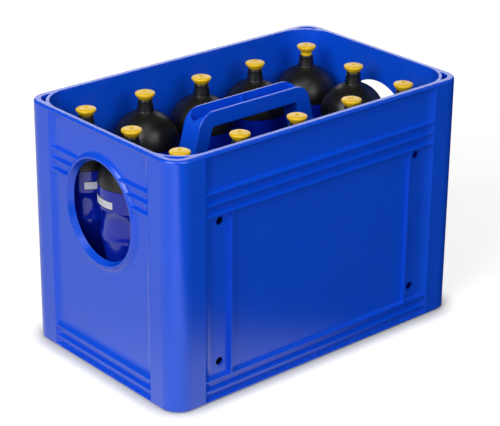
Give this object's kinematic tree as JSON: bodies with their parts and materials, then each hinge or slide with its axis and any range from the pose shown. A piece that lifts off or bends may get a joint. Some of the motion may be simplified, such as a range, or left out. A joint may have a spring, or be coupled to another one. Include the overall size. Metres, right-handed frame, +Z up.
{
  "type": "bottle crate",
  "caption": "Moulded crate with ribbed panels, hand holes and a middle carrying grip, filled with drinking bottles that have screw lids and push-pull valves.",
  "frame": {"origin": "on the ground under the middle of the crate", "axes": "+X along the crate's long side, +Y across it, +Z up; the picture looks at the -Y side and the -X end"},
  "size_m": [0.4, 0.246, 0.275],
  "materials": {
    "crate_plastic": "satin moulded, blue",
    "bottle_plastic": "smooth blow-moulded, dark blue",
    "lid_plastic": "matt black",
    "valve_plastic": "smooth yellow"
  },
  "bodies": {
    "crate_and_bottles": {"crate": "crate_plastic", "bottle_front_1": "bottle_plastic", "bottle_front_2": "bottle_plastic", "bottle_front_3": "bottle_plastic", "bottle_front_4": "bottle_plastic", "bottle_front_5": "bottle_plastic", "bottle_middle_1": "bottle_plastic", "bottle_middle_5": "bottle_plastic", "bottle_back_1": "bottle_plastic", "bottle_back_2": "bottle_plastic", "bottle_back_3": "bottle_plastic", "bottle_back_4": "bottle_plastic", "bottle_back_5": "bottle_plastic"},
    "lid_front_1": {"screw_lid_front_1": "lid_plastic"},
    "valve_front_1": {"drink_valve_front_1": "valve_plastic"},
    "lid_front_2": {"screw_lid_front_2": "lid_plastic"},
    "valve_front_2": {"drink_valve_front_2": "valve_plastic"},
    "lid_front_3": {"screw_lid_front_3": "lid_plastic"},
    "valve_front_3": {"drink_valve_front_3": "valve_plastic"},
    "lid_front_4": {"screw_lid_front_4": "lid_plastic"},
    "valve_front_4": {"drink_valve_front_4": "valve_plastic"},
    "lid_front_5": {"screw_lid_front_5": "lid_plastic"},
    "valve_front_5": {"drink_valve_front_5": "valve_plastic"},
    "lid_middle_1": {"screw_lid_middle_1": "lid_plastic"},
    "valve_middle_1": {"drink_valve_middle_1": "valve_plastic"},
    "lid_middle_5": {"screw_lid_middle_5": "lid_plastic"},
    "valve_middle_5": {"drink_valve_middle_5": "valve_plastic"},
    "lid_back_1": {"screw_lid_back_1": "lid_plastic"},
    "valve_back_1": {"drink_valve_back_1": "valve_plastic"},
    "lid_back_2": {"screw_lid_back_2": "lid_plastic"},
    "valve_back_2": {"drink_valve_back_2": "valve_plastic"},
    "lid_back_3": {"screw_lid_back_3": "lid_plastic"},
    "valve_back_3": {"drink_valve_back_3": "valve_plastic"},
    "lid_back_4": {"screw_lid_back_4": "lid_plastic"},
    "valve_back_4": {"drink_valve_back_4": "valve_plastic"},
    "lid_back_5": {"screw_lid_back_5": "lid_plastic"},
    "valve_back_5": {"drink_valve_back_5": "valve_plastic"}
  },
  "joints": [
    {"name": "lid_turn_front_1", "type": "hinge", "parent": "crate_and_bottles", "child": "lid_front_1", "pos_m": [-0.1556, -0.0778, 0.208], "axis": [0, 0, 1], "range_deg": [0, 540]},
    {"name": "valve_slide_front_1", "type": "slide", "parent": "lid_front_1", "child": "valve_front_1", "axis": [0, 0, 1], "range_m": [0, 0.005]},
    {"name": "lid_turn_front_2", "type": "hinge", "parent": "crate_and_bottles", "child": "lid_front_2", "pos_m": [-0.0778, -0.0778, 0.208], "axis": [0, 0, 1], "range_deg": [0, 540]},
    {"name": "valve_slide_front_2", "type": "slide", "parent": "lid_front_2", "child": "valve_front_2", "axis": [0, 0, 1], "range_m": [0, 0.005]},
    {"name": "lid_turn_front_3", "type": "hinge", "parent": "crate_and_bottles", "child": "lid_front_3", "pos_m": [0, -0.0778, 0.208], "axis": [0, 0, 1], "range_deg": [0, 540]},
    {"name": "valve_slide_front_3", "type": "slide", "parent": "lid_front_3", "child": "valve_front_3", "axis": [0, 0, 1], "range_m": [0, 0.005]},
    {"name": "lid_turn_front_4", "type": "hinge", "parent": "crate_and_bottles", "child": "lid_front_4", "pos_m": [0.0778, -0.0778, 0.208], "axis": [0, 0, 1], "range_deg": [0, 540]},
    {"name": "valve_slide_front_4", "type": "slide", "parent": "lid_front_4", "child": "valve_front_4", "axis": [0, 0, 1], "range_m": [0, 0.005]},
    {"name": "lid_turn_front_5", "type": "hinge", "parent": "crate_and_bottles", "child": "lid_front_5", "pos_m": [0.1556, -0.0778, 0.208], "axis": [0, 0, 1], "range_deg": [0, 540]},
    {"name": "valve_slide_front_5", "type": "slide", "parent": "lid_front_5", "child": "valve_front_5", "axis": [0, 0, 1], "range_m": [0, 0.005]},
    {"name": "lid_turn_middle_1", "type": "hinge", "parent": "crate_and_bottles", "child": "lid_middle_1", "pos_m": [-0.1556, 0, 0.208], "axis": [0, 0, 1], "range_deg": [0, 540]},
    {"name": "valve_slide_middle_1", "type": "slide", "parent": "lid_middle_1", "child": "valve_middle_1", "axis": [0, 0, 1], "range_m": [0, 0.005]},
    {"name": "lid_turn_middle_5", "type": "hinge", "parent": "crate_and_bottles", "child": "lid_middle_5", "pos_m": [0.1556, 0, 0.208], "axis": [0, 0, 1], "range_deg": [0, 540]},
    {"name": "valve_slide_middle_5", "type": "slide", "parent": "lid_middle_5", "child": "valve_middle_5", "axis": [0, 0, 1], "range_m": [0, 0.005]},
    {"name": "lid_turn_back_1", "type": "hinge", "parent": "crate_and_bottles", "child": "lid_back_1", "pos_m": [-0.1556, 0.0778, 0.208], "axis": [0, 0, 1], "range_deg": [0, 540]},
    {"name": "valve_slide_back_1", "type": "slide", "parent": "lid_back_1", "child": "valve_back_1", "axis": [0, 0, 1], "range_m": [0, 0.005]},
    {"name": "lid_turn_back_2", "type": "hinge", "parent": "crate_and_bottles", "child": "lid_back_2", "pos_m": [-0.0778, 0.0778, 0.208], "axis": [0, 0, 1], "range_deg": [0, 540]},
    {"name": "valve_slide_back_2", "type": "slide", "parent": "lid_back_2", "child": "valve_back_2", "axis": [0, 0, 1], "range_m": [0, 0.005]},
    {"name": "lid_turn_back_3", "type": "hinge", "parent": "crate_and_bottles", "child": "lid_back_3", "pos_m": [0, 0.0778, 0.208], "axis": [0, 0, 1], "range_deg": [0, 540]},
    {"name": "valve_slide_back_3", "type": "slide", "parent": "lid_back_3", "child": "valve_back_3", "axis": [0, 0, 1], "range_m": [0, 0.005]},
    {"name": "lid_turn_back_4", "type": "hinge", "parent": "crate_and_bottles", "child": "lid_back_4", "pos_m": [0.0778, 0.0778, 0.208], "axis": [0, 0, 1], "range_deg": [0, 540]},
    {"name": "valve_slide_back_4", "type": "slide", "parent": "lid_back_4", "child": "valve_back_4", "axis": [0, 0, 1], "range_m": [0, 0.005]},
    {"name": "lid_turn_back_5", "type": "hinge", "parent": "crate_and_bottles", "child": "lid_back_5", "pos_m": [0.1556, 0.0778, 0.208], "axis": [0, 0, 1], "range_deg": [0, 540]},
    {"name": "valve_slide_back_5", "type": "slide", "parent": "lid_back_5", "child": "valve_back_5", "axis": [0, 0, 1], "range_m": [-0.0035, 0.0015]}
  ]
}
